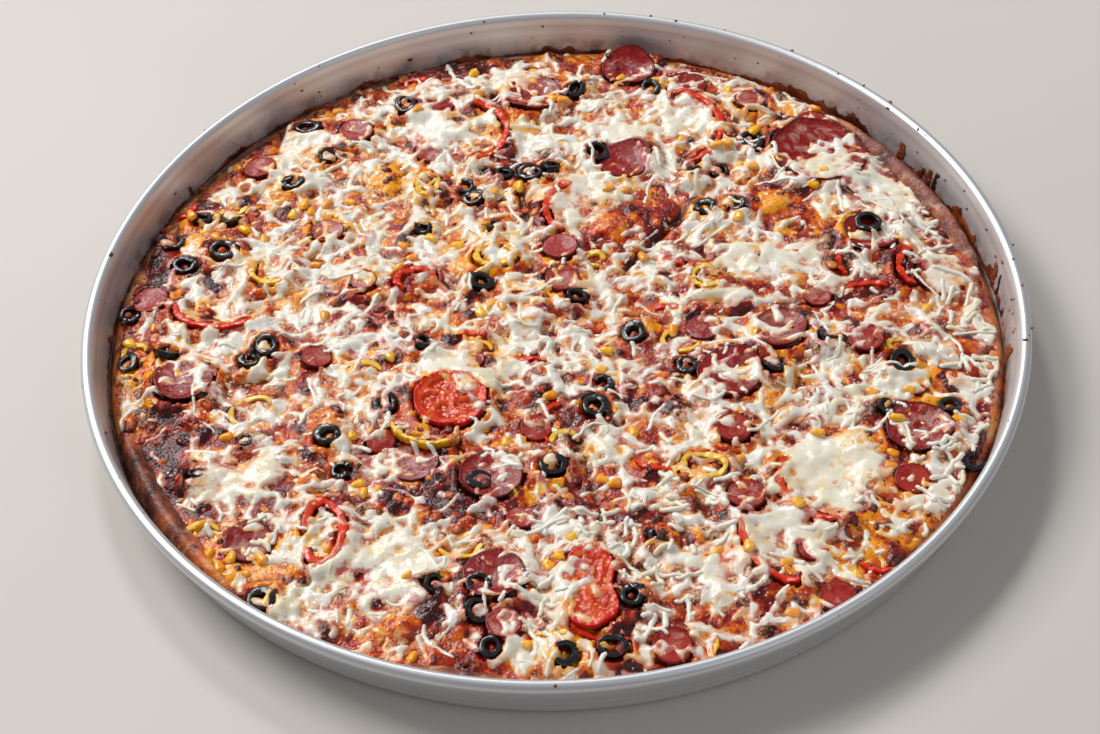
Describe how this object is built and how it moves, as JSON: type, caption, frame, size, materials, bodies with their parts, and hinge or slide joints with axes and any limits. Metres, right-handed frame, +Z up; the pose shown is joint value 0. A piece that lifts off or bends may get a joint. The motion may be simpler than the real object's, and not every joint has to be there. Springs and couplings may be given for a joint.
{
  "type": "pan pizza",
  "caption": "Large round baked pizza with mixed toppings in its round metal tray, cut into wedges that still lie together, ready to serve.",
  "frame": {"origin": "centre of the underside of the tray", "axes": "+Z up, +Y to the back, +X to the right as seen from the front"},
  "size_m": [0.6, 0.6, 0.043],
  "materials": {
    "tray_metal": "spun satin aluminium, brown specks baked onto the inside",
    "baked_dough": "baked crust, matte with browned top",
    "baked_cheese": "melted and browned cheese over tomato sauce, oily sheen",
    "salami": "moist cured meat with darker rim",
    "sausage": "moist sausage slice with darker skin",
    "tomato": "roasted tomato, wet",
    "red_pepper": "roasted pepper skin, glossy",
    "yellow_pepper": "roasted pale pepper, glossy",
    "black_olive": "oily black olive"
  },
  "bodies": {
    "root": {"pan": "tray_metal", "bread": "baked_dough", "topping_bed": "baked_cheese", "salami_1": "salami", "salami_2": "salami", "salami_3": "salami", "salami_4": "salami", "salami_5": "salami", "salami_6": "salami", "salami_7": "salami", "salami_8": "salami", "salami_9": "salami", "salami_10": "salami", "salami_11": "salami", "salami_12": "salami", "sausage_1": "sausage", "sausage_2": "sausage", "sausage_3": "sausage", "sausage_4": "sausage", "sausage_5": "sausage", "sausage_6": "sausage", "sausage_7": "sausage", "sausage_8": "sausage", "sausage_9": "sausage", "sausage_10": "sausage", "sausage_11": "sausage", "sausage_12": "sausage", "sausage_13": "sausage", "sausage_14": "sausage", "tomato_1": "tomato", "tomato_2": "tomato", "red_pepper_1": "red_pepper", "red_pepper_2": "red_pepper", "red_pepper_3": "red_pepper", "red_pepper_4": "red_pepper", "red_pepper_5": "red_pepper", "red_pepper_6": "red_pepper", "red_pepper_7": "red_pepper", "red_pepper_8": "red_pepper", "red_pepper_9": "red_pepper", "yellow_pepper_1": "yellow_pepper", "yellow_pepper_2": "yellow_pepper", "yellow_pepper_3": "yellow_pepper", "yellow_pepper_4": "yellow_pepper", "yellow_pepper_5": "yellow_pepper", "yellow_pepper_6": "yellow_pepper", "olive_1": "black_olive", "olive_2": "black_olive", "olive_3": "black_olive", "olive_4": "black_olive", "olive_5": "black_olive", "olive_6": "black_olive", "olive_7": "black_olive", "olive_8": "black_olive", "olive_9": "black_olive", "olive_10": "black_olive", "olive_11": "black_olive", "olive_12": "black_olive", "olive_13": "black_olive", "olive_14": "black_olive"}
  },
  "joints": []
}
